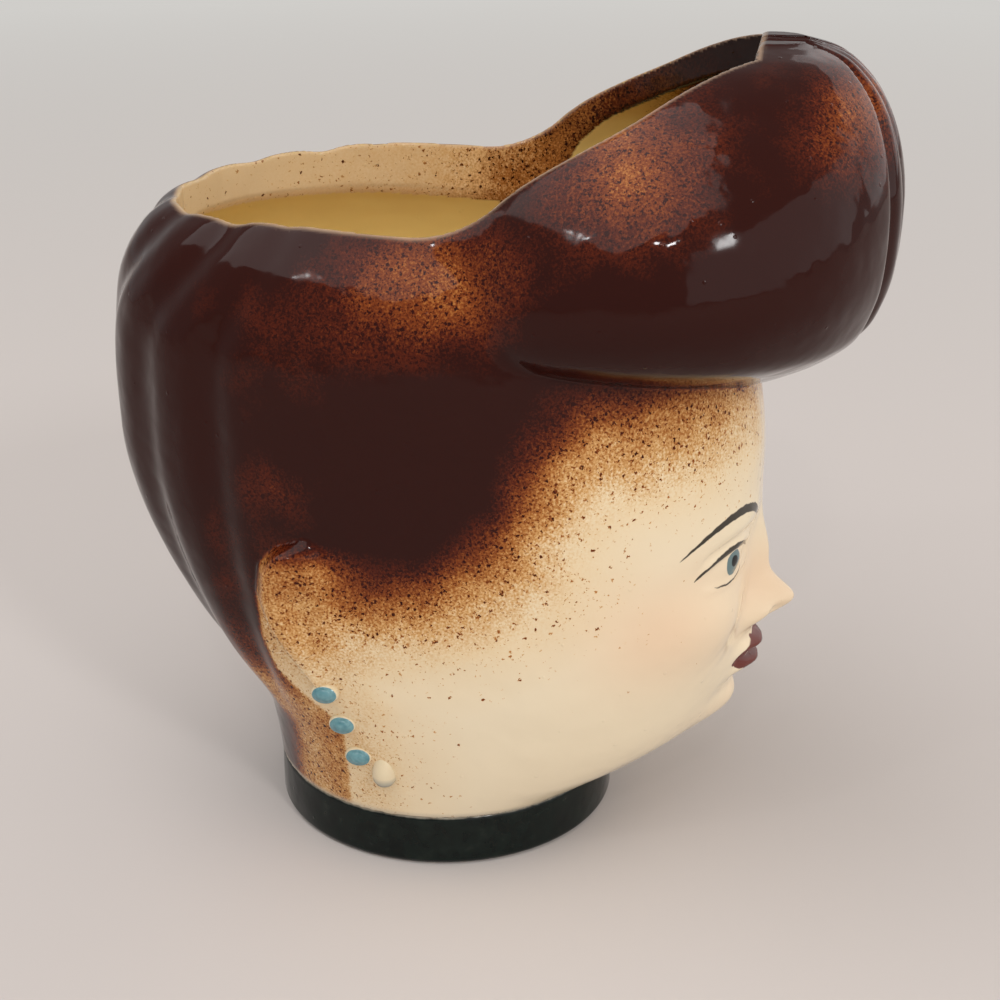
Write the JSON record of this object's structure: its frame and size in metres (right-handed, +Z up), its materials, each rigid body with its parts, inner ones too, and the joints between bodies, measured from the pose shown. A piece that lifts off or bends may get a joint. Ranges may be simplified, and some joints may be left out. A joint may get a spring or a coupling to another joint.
{
  "type": "head planter",
  "caption": "Hollow glazed earthenware head planter: an open-topped pot shaped as a head with a large roll of hair over the forehead, on a round foot.",
  "frame": {"origin": "centre of the foot's underside", "axes": "+Z up, -Y the way the face looks, +X the head's left"},
  "size_m": [0.0976, 0.1441, 0.1515],
  "materials": {
    "cream_and_brown_glaze": "glossy cream glaze, sprayed brown over the hair",
    "brown_glaze": "glossy dark brown glaze",
    "black_glaze": "glossy black-green glaze",
    "bare_clay": "matt bare clay",
    "teal_glaze": "glossy teal and cream glaze"
  },
  "bodies": {
    "root": {"head_casting": "cream_and_brown_glaze", "roll_right": "brown_glaze", "roll_left": "brown_glaze", "centre_lock": "brown_glaze", "foot_band": "black_glaze", "floor_disc": "bare_clay", "earring_right": "teal_glaze", "earring_left": "teal_glaze"}
  },
  "joints": []
}
